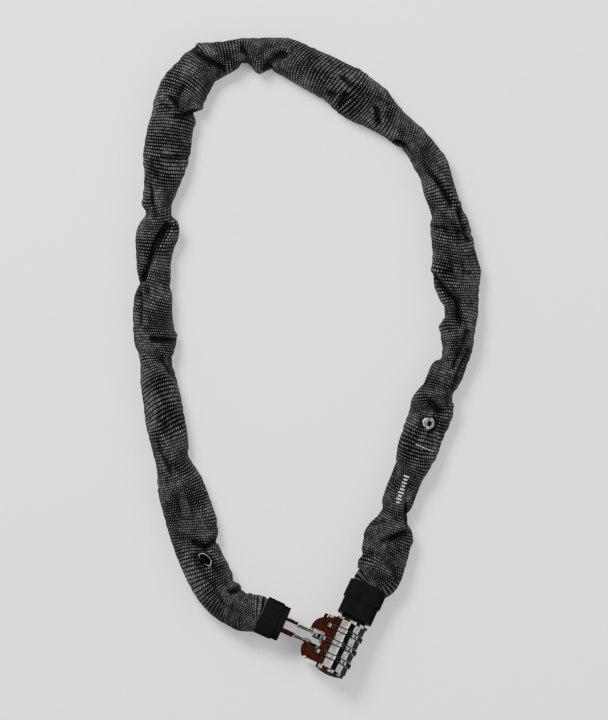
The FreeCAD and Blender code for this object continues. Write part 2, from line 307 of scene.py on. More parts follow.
def fabric_material():
    material, tree, shader = new_material("woven_sleeve")
    uv = tree.nodes.new("ShaderNodeUVMap")
    uv.uv_map = "weave"
    split = tree.nodes.new("ShaderNodeSeparateXYZ")
    tree.links.new(uv.outputs["UV"], split.inputs["Vector"])
    around = math_node(tree, "DIVIDE", split.outputs["X"], thread_around)
    along = math_node(tree, "DIVIDE", split.outputs["Y"], row_along)
    place = tree.nodes.new("ShaderNodeCombineXYZ")
    tree.links.new(split.outputs["X"], place.inputs["X"])
    tree.links.new(split.outputs["Y"], place.inputs["Y"])
    wobble = math_node(tree, "SUBTRACT", noise_node(tree, place.outputs["Vector"], 0.10), 0.5)
    along = math_node(tree, "ADD", along, math_node(tree, "MULTIPLY", wobble, row_wobble))
    row = math_node(tree, "FLOOR", along)
    shifted = math_node(tree, "ADD", around, math_node(tree, "MULTIPLY", row, 0.5))
    column = math_node(tree, "FLOOR", shifted)
    crown = math_node(tree, "MULTIPLY", sine_arch(tree, shifted), sine_arch(tree, along))
    cell = tree.nodes.new("ShaderNodeCombineXYZ")
    tree.links.new(column, cell.inputs["X"])
    tree.links.new(row, cell.inputs["Y"])
    chance = tree.nodes.new("ShaderNodeTexWhiteNoise")
    chance.noise_dimensions = "2D"
    tree.links.new(cell.outputs["Vector"], chance.inputs["Vector"])
    patch = noise_node(tree, place.outputs["Vector"], 0.06, 4.0)
    edge = ramp(tree, patch, 0.35, 0.65, 0.55, 0.12)
    above = math_node(tree, "SUBTRACT", crown, edge)
    fleck = ramp(tree, above, 0.0, 0.38, 0.0, 1.0)
    worn = ramp(tree, chance.outputs["Value"], 0.0, 1.0, 0.45, 1.0)
    lively = math_node(tree, "MULTIPLY", fleck, worn)
    # Painted shade and painted highlight: the shade attribute darkens the cloth in its hollows and
    # creases and lightens it on its ridges.
    hollow = tree.nodes.new("ShaderNodeAttribute")
    hollow.attribute_name = "shade"
    light = ramp(tree, hollow.outputs["Fac"], 0.2, 0.95, 1.2, 0.10)
    lively = math_node(tree, "MULTIPLY", lively, light)
    tree.links.new(mix_colour(tree, lively, dark_yarn, light_yarn), shader.inputs["Base Color"])
    shader.inputs["Roughness"].default_value = 0.78
    shader.inputs["Sheen Weight"].default_value = 0.03
    shader.inputs["Sheen Roughness"].default_value = 0.45
    shader.inputs["Specular IOR Level"].default_value = 0.04
    fuzz = math_node(tree, "MULTIPLY", noise_node(tree, place.outputs["Vector"], 2.2, 2.0), 0.35)
    add_bump(tree, shader, math_node(tree, "ADD", crown, fuzz), 0.5 * MM)
    return material


def chrome_material(name, tone, rough, mottle=0.55):
    material, tree, shader = new_material(name)
    vector = object_vector(tree)
    shader.inputs["Metallic"].default_value = 1.0
    smudge = noise_node(tree, vector, 90.0, 4.0)
    tree.links.new(ramp(tree, smudge, 0.35, 0.75, rough, rough * 2.2), shader.inputs["Roughness"])
    cloud = ramp(tree, noise_node(tree, vector, 420.0, 4.0), 0.40, 0.56, 0.0, 1.0)
    dull = tone * mottle
    shade = mix_colour(tree, cloud, (dull, dull, dull), (tone, tone, tone))
    tree.links.new(shade, shader.inputs["Base Color"])
    add_bump(tree, shader, noise_node(tree, vector, 700.0, 2.0), 0.004 * MM, 0.6)
    return material


def dial_material():
    """Chrome with black paint on the walls of the grooves, and painted shade along both rims of each
    dial where the gap to the housing lies.
    """
    material = chrome_material("dial_chrome", 0.78, 0.09)
    tree = material.node_tree
    shader = tree.nodes["Principled BSDF"]
    offset = vector_node(tree, "SUBTRACT", object_vector(tree), head_origin).outputs["Vector"]
    across = vector_node(tree, "CROSS_PRODUCT", offset, axis_w).outputs["Vector"]
    length = vector_node(tree, "LENGTH", across, None).outputs["Value"]
    wall = math_node(tree, "SUBTRACT", length, groove_floor + groove_paint)
    bare = ramp(tree, math_node(tree, "ABSOLUTE", wall), groove_paint_half,
                groove_paint_half + paint_edge, 0.0, 1.0)
    along = vector_node(tree, "DOT_PRODUCT", offset, axis_w).outputs["Value"]
    # Painted shade: a black band along each rim of every dial, where it meets the housing's slot.
    for place in dial_places:
        middle = math_node(tree, "SUBTRACT", along, place * MM)
        rim = math_node(tree, "SUBTRACT", math_node(tree, "ABSOLUTE", middle), dial_half_thick)
        clear = ramp(tree, math_node(tree, "ABSOLUTE", rim), rim_shade_half,
                     rim_shade_half + paint_edge, 0.0, 1.0)
        bare = math_node(tree, "MINIMUM", bare, clear)
    tree.links.new(bare, shader.inputs["Metallic"])
    polished = shader.inputs["Base Color"].links[0].from_socket
    # Black paint on the groove walls and painted shade on the rims.
    painted = mix_colour(tree, bare, (0.004, 0.004, 0.004), polished)
    tree.links.new(painted, shader.inputs["Base Color"])
    return material


def plastic_material():
    material, tree, shader = new_material("moulded_black")
    vector = object_vector(tree)
    cloud = noise_node(tree, vector, 400.0, 5.0)
    shade = mix_colour(tree, cloud, (0.0022, 0.0025, 0.0028), (0.0048, 0.0054, 0.0060))
    tree.links.new(shade, shader.inputs["Base Color"])
    rub = ramp(tree, noise_node(tree, vector, 900.0, 3.0), 0.3, 0.7, 0.42, 0.60)
    tree.links.new(rub, shader.inputs["Roughness"])
    shader.inputs["Specular IOR Level"].default_value = 0.10
    add_bump(tree, shader, noise_node(tree, vector, 2600.0, 3.0), 0.03 * MM, 0.5)
    return material


def steel_material(name, colour, rough):
    material, tree, shader = new_material(name)
    vector = object_vector(tree)
    shader.inputs["Metallic"].default_value = 1.0
    dull = tuple(channel * 0.7 for channel in colour)
    shade = mix_colour(tree, noise_node(tree, vector, 300.0, 5.0), dull, colour)
    tree.links.new(shade, shader.inputs["Base Color"])
    rub = ramp(tree, noise_node(tree, vector, 500.0, 4.0), 0.3, 0.7, rough * 0.7, rough * 1.4)
    tree.links.new(rub, shader.inputs["Roughness"])
    add_bump(tree, shader, noise_node(tree, vector, 1200.0, 3.0), 0.02 * MM, 0.4)
    return material


def paint_material(name, colour):
    material, tree, shader = new_material(name)
    vector = object_vector(tree)
    dull = tuple(channel * 0.75 for channel in colour)
    shade = mix_colour(tree, noise_node(tree, vector, 800.0, 4.0), dull, colour)
    tree.links.new(shade, shader.inputs["Base Color"])
    shader.inputs["Roughness"].default_value = 0.5
    shader.inputs["Specular IOR Level"].default_value = 0.05
    return material


fabric = fabric_material()
chrome = chrome_material("polished_chrome", 0.82, 0.045, 0.62)
cap_chrome = chrome_material("cap_chrome", 0.80, 0.08, 0.25)
bright_chrome = chrome_material("bright_chrome", 0.86, 0.05, 0.9)
dial_chrome = dial_material()
plastic = plastic_material()
steel = steel_material("link_steel", (0.5, 0.5, 0.51), 0.3)
brass = steel_material("hub_brass", (0.72, 0.55, 0.28), 0.3)
ink = paint_material("black_ink", (0.0012, 0.0012, 0.0012))
thread = paint_material("seam_thread", (0.30, 0.30, 0.30))
print_ink = paint_material("print_ink", (0.42, 0.42, 0.42))

weld_gap = 0.002 * MM
bevel_angle = math.radians(35)
split_angle = math.radians(32)


def finish_node(name, material, bevel=0.0):
    """Gives a CAD node its material, smooth shading and, on a visible piece, softened edges."""
    node = frame["nodes"][name]
    node.data.materials.clear()
    node.data.materials.append(material)
    for face in node.data.polygons:
        face.material_index = 0
        face.use_smooth = True
    weld = node.modifiers.new("weld", "WELD")
    weld.merge_threshold = weld_gap
    if bevel:
        edge = node.modifiers.new("edge", "BEVEL")
        edge.width = bevel
        edge.segments = 2
        edge.limit_method = "ANGLE"
        edge.angle_limit = bevel_angle
    by_angle = node.modifiers.new("by_angle", "EDGE_SPLIT")
    by_angle.split_angle = split_angle
    flatter = node.modifiers.new("flatter", "WEIGHTED_NORMAL")
    flatter.weight = 100


def dress_cad_nodes():
    for name in frame["nodes"]:
        if name in ("left_pin", "right_pin"):
            finish_node(name, plastic)
        elif name.startswith("chain_link") or name in ("right_anchor", "spindle", "centre_tube"):
            finish_node(name, steel)
        elif name.startswith("dial_hub"):
            finish_node(name, brass)
        elif name.startswith("dial"):
            finish_node(name, dial_chrome, 0.12 * MM)
        elif name == "end_cap":
            finish_node(name, cap_chrome, 0.22 * MM)
        elif name == "bolt":
            finish_node(name, bright_chrome, 0.15 * MM)
        elif name in ("left_collar", "right_collar"):
            finish_node(name, plastic, 0.5 * MM)
        elif "spring" in name or name == "detent_balls":
            finish_node(name, steel)
        elif name.startswith("sleeve_snap"):
            finish_node(name, chrome, 0.1 * MM)
        elif not name.startswith("sleeve"):
            finish_node(name, chrome, 0.22 * MM)


# ---------------------------------------------------------------- marks on the head
dial_radius = 14.4
dial_pads = 10
digit_tall = 3.1                 # round the dial, millimetres
digit_wide = 2.0
digit_proud = 0.02
dial_shown = (4, 7, 1)           # how far each dial's numbers are turned round
body_radius = 13.5
index_angle = 72                 # degrees round the head from the side away from the bolt
index_places = (3.2, 11.35, 19.9, 28.4)
cap_u = 3.6
cap_top = 34.0                   # top of the end cap's dome along the dial axis
cap_dome = 22.0                  # the dome's radius
cap_tick_count = 24
cap_tick_inner = 6.3
cap_tick_outer = 7.8
cap_tick_half = 0.26
index_half = 0.9                 # millimetres
index_wide = 0.5


def digit_mesh(text):
    """A digit's flat face as points, centred, one unit tall, and its triangles."""
    curve = bpy.data.curves.new("digit", "FONT")
    curve.body = text
    carrier = bpy.data.objects.new("digit", curve)
    mesh = bpy.data.meshes.new_from_object(carrier)
    points = np.array([v.co for v in mesh.vertices])
    faces = [list(face.vertices) for face in mesh.polygons]
    bpy.data.objects.remove(carrier)
    bpy.data.meshes.remove(mesh)
    low, high = points.min(0), points.max(0)
    points = (points - (low + high) / 2) / (high[1] - low[1])
    return points, faces, (high[0] - low[0]) / (high[1] - low[1])


def dial_digits(number, place):
    """The ten painted digits of one dial, each wrapped onto its pad."""
    vertices, faces = [], []
    radius = dial_radius + digit_proud
    for digit in range(dial_pads):
        text = str((digit + dial_shown[number - 1]) % dial_pads)
        points, triangles, shape = digit_mesh(text)
        base = len(vertices)
        squeeze = min(digit_tall, digit_wide / shape)
        for x, y, _ in points:
            angle = math.radians(digit * 360 / dial_pads) - y * digit_tall / dial_radius
            vertices.append(head_point(radius * math.cos(angle), radius * math.sin(angle),
                                       place + x * squeeze))
        faces += [[base + i for i in triangle] for triangle in triangles]
    add_piece("dial_digits_%d" % number, vertices, faces, ink, "dial_%d" % number)


def add_piece(name, vertices, faces, material, body):
    mesh = bpy.data.meshes.new(name)
    mesh.from_pydata([tuple(v) for v in vertices], [], faces)
    mesh.materials.append(material)
    piece = bpy.data.objects.new(name, mesh)
    bpy.context.scene.collection.objects.link(piece)
    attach(piece, body)
    return piece


def head_bar(radius, angle, w0, w1, wide):
    """Corners of a thin painted line along the dial axis, on a round face of the head."""
    half = wide / radius / 2
    corners = ((angle - half, w0), (angle + half, w0), (angle + half, w1), (angle - half, w1))
    return [head_point(radius * math.cos(a), radius * math.sin(a), w) for a, w in corners]


def index_lines():
    """Painted lines on the housing that the dials are set against."""
    vertices, faces = [], []
    radius, angle = body_radius + digit_proud, math.radians(index_angle)
    for w in index_places:
        faces.append([len(vertices) + i for i in range(4)])
        vertices += head_bar(radius, angle, w - index_half, w + index_half, index_wide)
    add_piece("index_lines", vertices, faces, ink, "root")


def cap_ticks():
    """Plain black ticks drawn flat round the end cap's dome, in place of its engraved marks."""
    vertices, faces = [], []
    for tick in range(cap_tick_count):
        angle = 2 * math.pi * tick / cap_tick_count
        inner = cap_tick_inner - (1.0 if tick % 3 == 0 else 0.0)
        faces.append([len(vertices) + i for i in range(4)])
        outer = cap_tick_outer
        for radius, side in ((inner, -1), (inner, 1), (outer, 1), (outer, -1)):
            a = angle + side * cap_tick_half / radius
            w = cap_top - cap_dome + math.sqrt(cap_dome ** 2 - radius ** 2) + digit_proud
            vertices.append(head_point(cap_u + radius * math.cos(a), radius * math.sin(a), w))
    add_piece("cap_ticks", vertices, faces, ink, "root")


def make_marks():
    for number, place in enumerate(dial_places, 1):
        dial_digits(number, place)
    index_lines()
    cap_ticks()


# ---------------------------------------------------------------- the woven sleeve
# Middle of the sleeve and its width as it lies, x, y, width in millimetres, right collar first.
stations = (
    (42.8, -133.3, 25.6), (44.6, -128.8, 27.6), (45.8, -121.5, 29.0), (48.4, -112.0, 29.7),
    (49.7, -105.5, 28.4), (50.8, -99.0, 22.0), (53.0, -92.5, 17.5), (55.2, -85.5, 17.4),
    (57.0, -79.5, 17.6), (60.4, -74.0, 18.2), (64.0, -66.5, 20.5), (65.8, -59.0, 23.6),
    (67.9, -51.5, 25.0), (72.6, -40.3, 27.2), (75.8, -31.0, 26.2), (76.9, -23.5, 24.0),
    (79.6, -17.8, 20.8), (84.0, -11.5, 18.8), (88.2, -5.0, 17.6), (90.2, 1.0, 17.8), (91.4, 8.5, 20.0),
    (91.8, 18.0, 21.0), (93.1, 25.0, 19.6), (93.4, 31.0, 20.4), (91.4, 43.0, 27.0),
    (90.3, 53.3, 30.0), (89.4, 62.7, 27.5), (87.3, 73.3, 24.2), (86.2, 82.0, 23.5),
    (84.3, 90.0, 18.6), (81.2, 100.0, 19.4), (77.8, 111.5, 19.6), (74.0, 120.0, 21.0),
    (70.2, 127.0, 20.0), (62.8, 134.3, 18.6), (54.4, 140.2, 18.2), (48.8, 145.2, 20.8),
    (40.0, 152.3, 26.0), (31.6, 158.0, 28.5), (24.6, 163.2, 29.0), (17.6, 167.7, 26.6),
    (5.8, 174.3, 25.5), (-4.8, 179.6, 24.2), (-13.6, 183.3, 22.8), (-20.8, 185.0, 19.6),
    (-28.0, 185.0, 20.0), (-34.4, 186.1, 16.0), (-40.8, 186.0, 15.4), (-48.0, 184.4, 17.8),
    (-57.6, 181.6, 20.0), (-64.2, 176.6, 23.6), (-69.9, 169.1, 26.7), (-75.6, 161.0, 29.5),
    (-79.5, 153.5, 28.0), (-81.2, 146.0, 26.8), (-83.0, 137.5, 28.0), (-85.4, 122.0, 27.8),
    (-87.3, 111.5, 24.0), (-89.2, 102.4, 20.2), (-90.4, 94.5, 18.4), (-90.2, 87.0, 16.6),
    (-90.5, 80.6, 22.4), (-91.5, 73.3, 25.4), (-92.3, 64.8, 22.6), (-92.8, 54.0, 20.8),
    (-92.9, 45.5, 20.4), (-93.1, 38.0, 23.4), (-93.2, 29.0, 24.2), (-93.0, 20.0, 24.4),
    (-92.2, 11.0, 25.6), (-92.0, 5.0, 23.2), (-92.2, -1.0, 19.0), (-90.5, -11.0, 21.2),
    (-87.9, -25.2, 23.3), (-85.5, -38.0, 24.0), (-83.5, -52.5, 22.8), (-82.0, -60.8, 20.4),
    (-79.2, -69.0, 24.2), (-76.4, -77.4, 28.4), (-73.4, -88.2, 30.2), (-70.2, -99.5, 30.8),
    (-68.4, -107.3, 29.0), (-66.3, -115.2, 27.0), (-63.6, -122.2, 26.4), (-60.6, -128.6, 27.4),
    (-56.4, -137.6, 26.0), (-51.8, -144.6, 23.6), (-46.4, -149.2, 22.6), (-40.8, -152.0, 23.2),
    (-37.2, -153.6, 22.4),
)
sleeve_girth = 78.0              # round the tube, flat, millimetres
cloth_thickness = 0.8            # millimetres
ring_step = 1.0                  # millimetres along the sleeve
around_count = 90
curve_steps = 24                 # between two stations
noise_waves = 14
link_search = 26.0               # millimetres out from the sleeve's middle
link_gap = 0.95                  # least gap from the links to the cloth's outside, millimetres
floor_gap = 0.25                 # least gap from the floor to the cloth, millimetres
collar_slope = 62.0              # the sleeve comes down to the floor this far from a collar
right_mouth = (4.0, -25.4)       # u and w of the right collar's mouth
left_mouth = (-48.2, 17.4)
# Depth inside a collar and the sleeve's radius there, millimetres; a fold hides the collar's edge.
mouth_rows = ((5.0, 9.1), (1.0, 9.2), (-1.6, 10.9))

# Creases pressed into the cloth: route, half width, height, and height of the roll on its left.
creases = (
    (((-69, 187.5), (-63, 182.5), (-57.5, 179), (-51, 175.5)), 1.9, -5.0, 2.4),
    (((-79, 146.5), (-72.5, 148), (-66.5, 149.5)), 1.5, -4.0, 1.6),
    (((-83, 159), (-79, 154.5), (-76.5, 150.5)), 1.3, -1.8, 0.8),
    (((-86.5, 154.5), (-82, 151)), 1.2, -1.2, 0.5),
    (((-88, 122), (-79.5, 122), (-71, 122.5)), 1.2, -1.1, 0.7),
    (((-94.5, 120.5), (-93.5, 114.5)), 1.6, -1.4, 0.0),
    (((-91.5, 112.5), (-89, 108)), 1.4, -1.1, 0.0),
    (((-94.5, 105), (-93.5, 96.5), (-91.5, 86.5)), 1.4, -1.5, 0.5),
    (((-84, 80.5), (-90.5, 71.5), (-95, 60), (-99.5, 48.5)), 2.2, -4.2, 2.6),
    (((-100.5, 40.5), (-100, 29.5), (-100.5, 21)), 1.2, -1.2, 0.6),
    (((-93.5, 12.5), (-86, 11.5), (-78, 11.5)), 1.5, -3.2, 1.4),
    (((-88, 0.5), (-85, -4), (-82, -9)), 1.3, -1.8, 0.6),
    (((-90.5, -49), (-87.5, -58), (-82.5, -67.5)), 1.6, -1.1, 0.4),
    (((-68, -110.5), (-61, -113.5), (-54.5, -109.5)), 1.7, -3.4, 1.2),
    (((-57, -128), (-56, -134.5)), 1.5, -1.9, 0.0),
    (((-52, -141), (-46.5, -140.5), (-42.5, -140)), 1.3, -2.2, 0.8),
    (((-39.5, 189), (-37, 184), (-34.5, 180)), 1.3, -2.6, 0.8),
    (((-26, 175.5), (-22.5, 180.5), (-14, 184)), 1.9, -4.2, 1.6),
    (((-11.5, 188.5), (-9, 186)), 1.6, -1.4, 0.0),
    (((22, 169), (25, 165.5)), 2.0, -2.4, 0.4),
    (((13.5, 160.5), (16.5, 159.5)), 2.0, -2.0, 0.0),
    (((20, 154.5), (23.5, 160)), 1.8, -2.8, 0.8),
    (((42, 151), (43, 143)), 1.7, -3.2, 0.9),
    (((44, 157), (49, 154.5)), 1.6, -1.0, 0.0),
    (((54, 131), (59, 128.5), (63.5, 125.5)), 1.5, -2.6, 1.2),
    (((67.5, 122), (73.5, 113.5), (81, 104), (86.5, 93.5)), 1.7, -1.8, 1.4),
    (((91, 91.5), (94.5, 83), (97.5, 72)), 1.5, -2.4, 1.2),
    (((77, 80), (84, 79), (94, 76.5)), 1.4, -1.5, 0.7),
    (((81, 52.5), (89.5, 54), (99, 52)), 1.2, -1.0, 0.4),
    (((76, 50.5), (83, 42), (90.5, 35), (91.5, 22.5)), 2.0, -2.8, 1.0),
    (((96.5, 16.5), (94, 8), (88, -4)), 1.6, -1.3, 0.8),
    (((97.5, 5.5), (92.5, -5.5), (88, -17.5)), 1.5, -1.6, 0.0),
    (((74.5, -26.5), (80, -31)), 2.6, -2.6, 0.0),
    (((84, -22), (85, -28.5)), 1.4, -1.1, 0.4),
    (((65.5, -51.5), (73.5, -55), (77, -56.5)), 1.0, -0.9, 0.5),
    (((46.5, -109.5), (52, -107.5), (59, -105)), 1.6, -2.6, 1.2),
    (((60.5, -88), (60.5, -100)), 1.4, -2.0, 0.6),
    (((39, -100), (46, -98)), 1.4, -1.1, 0.5),
    (((32.5, -119.5), (39.5, -117)), 1.3, -1.4, 0.6),
    (((52, -125.5), (54, -132.5)), 1.4, -1.2, 0.0),
)

# Metal fittings on the sleeve: x, y, reach and depth of the hollow they pull the cloth into.
fittings = ((73.8, -39.0, 7.0, 1.6), (-61.5, -121.0, 6.0, 1.8))
fitting_span = 3.0               # millimetres each way over which the cloth's slope is taken
snap_lift = 0.3
eyelet_turn = -52                # degrees
eyelet_squeeze = 0.56
# Profiles of the fittings: radius, height.
snap_ring = ((3.9, -1.6), (3.92, 0.2), (3.7, 0.55), (3.2, 0.85), (2.5, 0.95), (1.9, 0.8),
             (1.5, 0.4), (1.4, -0.5))
snap_well_shade = ((1.5, -0.1), (1.2, -0.25), (0.5, -0.3), (0.01, -0.3))
eyelet_rim = ((5.3, -1.6), (5.35, 0.0), (5.1, 0.35), (4.6, 0.5), (4.2, 0.3), (4.0, -0.6))
eyelet_hole_shade = ((4.5, -0.9), (4.4, 0.0), (3.4, 0.0), (1.5, -0.02), (0.01, -0.02))

# Strips on the cloth: name, from, to, count, turn in degrees, length, width, bow, unevenness.
strip_proud = 0.12
trims = (
    ("seam_stitches", (65.5, -51.5), (76.5, -56.0), 6, 0.0, 1.55, 0.55, 0.30, 0.0, thread),
    ("print_dashes", (60.5, -70.0), (54.5, -87.5), 9, 90.0, 3.2, 0.9, 0.0, 0.5, print_ink),
)

# Where the outline is pushed out or in: x, y, reach, push.
pushes = (
    (77, 129, 9.0, -1.9), (64, 124, 4.0, -1.0), (71.5, -12.5, 7.0, -2.4), (64, -40, 8.0, -0.9),
    (51.5, -73.5, 8.0, -1.3), (42, -93, 6.0, -2.0), (96.5, -5.5, 8.0, -1.8), (83, -46.5, 8.0, -1.2),
    (66.5, -78, 8.0, -1.8), (55, 128.5, 6.0, -1.2), (96.5, 83, 6.0, -1.0), (-68, 189, 9.0, 1.6),
    (-83, 174, 9.0, 0.8), (49, 163, 9.0, 1.3),
    (-47.5, 176.5, 3.2, 0.6), (-39, 180, 3.6, -2.6), (-29, 174.5, 3.2, 2.6), (-22, 176.5, 2.2, -1.8),
    (-67.5, 148.5, 2.2, -2.0), (-68.5, 142.5, 3.0, 0.8), (-82.5, 94.5, 2.0, -0.6),
    (-97.5, 88.5, 2.6, -1.6), (-100, 94.5, 2.6, 0.8), (-78, 74.5, 3.4, 1.2), (-103, 46, 2.0, -1.2),
    (-82.5, 43.5, 2.2, -0.9), (-78, 11.5, 3.0, 1.2), (-83.5, -1, 2.6, -1.6), (63.5, 125.5, 2.4, -1.8),
    (63, 122, 2.0, 0.4), (76, 90.5, 2.6, -1.6), (93.5, 89.5, 2.2, -1.2), (83, 29, 2.6, -1.6),
    (80.5, 19.5, 2.6, 1.2), (88.5, -20, 2.4, -1.3), (63.5, -26, 3.4, 1.0), (32.5, -117.5, 1.8, -1.4),
    (30.5, -123.5, 2.4, 1.0), (62, -92.5, 2.6, -1.2), (64, -109.5, 3.0, 0.9), (-40.5, -137.5, 2.4, 3.8),
    (-44, -133.5, 1.6, -1.4), (-40, -144, 2.0, -1.8), (-54.5, -110.5, 2.0, -1.0),
    (-34, -143.5, 2.4, 0.6),
)


def near_route(points, route):
    """How far each x, y lies from a route of straight runs, and on which side: left is positive."""
    best = np.full(points.shape[:-1], 1e9)
    side = np.zeros(points.shape[:-1])
    for a, b in zip(route, route[1:]):
        a, span = np.array(a, float), np.array(b, float) - np.array(a, float)
        flat = points - a
        share = np.clip((flat @ span) / (span @ span), 0, 1)
        gap = np.linalg.norm(flat - share[..., None] * span, axis=-1)
        turn = np.sign(span[0] * flat[..., 1] - span[1] * flat[..., 0])
        side = np.where(gap < best, turn, side)
        best = np.minimum(best, gap)
    return best, side


def smooth_curve(points, step):
    """Points along a smooth curve through the given rows, evenly spaced in x, y."""
    rows = np.array(points, float)
    padded = np.vstack([2 * rows[0] - rows[1], rows, 2 * rows[-1] - rows[-2]])
    fine = []
    for index in range(1, len(padded) - 2):
        a, b, c, d = padded[index - 1:index + 3]
        for t in np.linspace(0, 1, curve_steps, endpoint=False):
            fine.append(0.5 * (2 * b + (c - a) * t + (2 * a - 5 * b + 4 * c - d) * t ** 2
                               + (3 * b - a - 3 * c + d) * t ** 3))
    fine.append(padded[-2])
    fine = np.array(fine)
    steps = np.linalg.norm(np.diff(fine[:, :3], axis=0), axis=1)
    length = np.concatenate([[0], np.cumsum(steps)])
    count = int(length[-1] / step)
    even = np.linspace(0, length[-1], count + 1)
    columns = [np.interp(even, length, fine[:, k]) for k in range(fine.shape[1])]
    return np.stack(columns, 1), even


def soft_noise(along, around, scale_along, scale_around, seed):
    """Smooth noise that closes round the tube; along in millimetres, around in turns."""
    generator = np.random.default_rng(seed)
    total = np.zeros(np.broadcast(along, around).shape)
    for _ in range(noise_waves):
        turns = generator.integers(0, max(1, int(sleeve_girth / scale_around)) + 1)
        pace = generator.uniform(0.35, 1.0) * 2 * np.pi / scale_along
        lean = generator.choice((-1.0, 1.0))
        start = generator.uniform(0, 2 * np.pi)
        total += np.sin(along * pace + lean * around * 2 * np.pi * turns + start)
    return total / noise_waves ** 0.5


def collar_ends():
    """Middle and outward way of the right collar's mouth, then of the left one's."""
    right_out = head_point(right_mouth[0], 0, right_mouth[1]) / MM
    left_out = head_point(left_mouth[0], 0, left_mouth[1]) / MM
    return np.array(right_out), -np.array(axis_w), np.array(left_out), -np.array(axis_u)


def sleeve_path():
    """Rows of x, y, z, half width, half height, with both ends inside the collars."""
    right_out, right_way, left_out, left_way = collar_ends()
    rows = [(*(right_out - right_way * depth), half, half) for depth, half in mouth_rows]
    for x, y, width in stations:
        half = width / 2
        tall = float(np.clip(11.4 - 0.13 * half, 9.3, 10.2))
        rows.append((x, y, tall + 0.1, half, tall))
    rows += [(*(left_out - left_way * depth), half, half) for depth, half in reversed(mouth_rows)]
    rows = np.array(rows)
    inside = np.isin(rows[:, 3], [half for _, half in mouth_rows])
    for out in (right_out, left_out):
        near = np.linalg.norm(rows[:, :2] - out[:2], axis=1)
        share = np.clip(1 - near / collar_slope, 0, 1) ** 1.3
        raised = rows[:, 2] + share * np.clip(out[2] - rows[:, 2], 0, None)
        rows[:, 2] = np.where(inside, rows[:, 2], raised)
    return rows


def link_reach(centres, ways):
    """How far the chain reaches from each ring's middle in each direction, in millimetres."""
    vertices, faces = [], []
    for name, node in frame["nodes"].items():
        if name.startswith("chain_link"):
            base = len(vertices)
            vertices += [v.co / MM for v in node.data.vertices]
            faces += [[base + i for i in face.vertices] for face in node.data.polygons]
    tree = BVHTree.FromPolygons(vertices, faces)
    reach = np.zeros(ways.shape[:2])
    far = link_search
    for ring in range(ways.shape[0]):
        middle = Vector(centres[ring])
        for spoke in range(ways.shape[1]):
            way = Vector(ways[ring, spoke])
            hit, _, _, distance = tree.ray_cast(middle + way * far, -way, far)
            if hit is not None:
                reach[ring, spoke] = far - distance
    return reach


def blur(field, along, around):
    """Gaussian blur of a ring-by-spoke field."""
    for width, axis in ((along, 0), (around, 1)):
        if width <= 0:
            continue
        size = int(3 * width) + 1
        taps = np.exp(-0.5 * (np.arange(-size, size + 1) / width) ** 2)
        taps /= taps.sum()
        mode = "wrap" if axis == 1 else "edge"
        pad = [(size, size) if k == axis else (0, 0) for k in range(2)]
        wide = np.pad(field, pad, mode=mode)
        field = sum(tap * np.take(wide, np.arange(k, k + field.shape[axis]), axis=axis)
                    for k, tap in enumerate(taps))
    return field


def loose_cloth(s, t, half, cosine):
    """Bumps and gathers of the cloth between its creases, in millimetres."""
    spare = np.clip((13.5 - half[:, None]) / 5.0, 0, 1)
    pleat = np.sin(2 * np.pi * 6 * t + 3.0 * soft_noise(s, t, 60, 60, 3) + s * 0.03)
    side_hold = 1 - 0.72 * np.abs(cosine)[None, :]
    bumps = 1.15 * soft_noise(s, t, 22, 26, 1) * side_hold
    bumps = bumps + 0.6 * spare * pleat * side_hold
    bumps = bumps + 0.32 * (np.abs(soft_noise(s, t, 9, 12, 2)) - 0.6)
    return bumps + 0.16 * soft_noise(s, t, 4.5, 7, 4)


def press_creases(radius, flat, upper):
    """Presses creases, fittings' hollows and the outline's pushes; also gives how much painted shade
    lies in the creases and round the fittings.
    """
    painted_shade_amount = np.zeros(radius.shape)
    for route, width, height, lip in creases:
        gap, side = near_route(flat, route)
        dent = np.exp(-(gap / width) ** 2) * upper
        roll = np.exp(-((gap - 2.0 * width) / width) ** 2) * upper * (side > 0)
        radius = radius + height * dent + lip * roll
        # Painted shade along each crease.
        painted_shade_amount = np.maximum(painted_shade_amount, dent * min(1.0, -height / 4.0))
    for x, y, reach, depth in fittings:
        gap = np.linalg.norm(flat - (x, y), axis=2)
        radius = radius - depth * np.exp(-(gap / reach) ** 4) * upper
        # Painted shadow ring round each fitting.
        painted_shade_amount = np.maximum(painted_shade_amount, 0.8 * np.exp(-(gap / (reach * 0.72)) ** 4) * upper)
    for x, y, reach, push in pushes:
        gap = np.linalg.norm(flat - (x, y), axis=2)
        radius = radius + push * np.exp(-(gap / reach) ** 2)
    return radius, painted_shade_amount


def clear_of_links(radius, least):
    """Lifts the cloth clear of the links inside, smoothly."""
    grown = np.maximum(least, blur(least, 1.6, 1.6)) + 1.1 * (least > 0)
    needed = blur(grown, 1.2, 1.2) + 0.35
    radius = np.maximum(radius, np.where(least > 0, needed, 0))
    radius = blur(radius, 0.7, 0.7)
    return np.maximum(radius, np.where(least > 0, least + link_gap, 0))


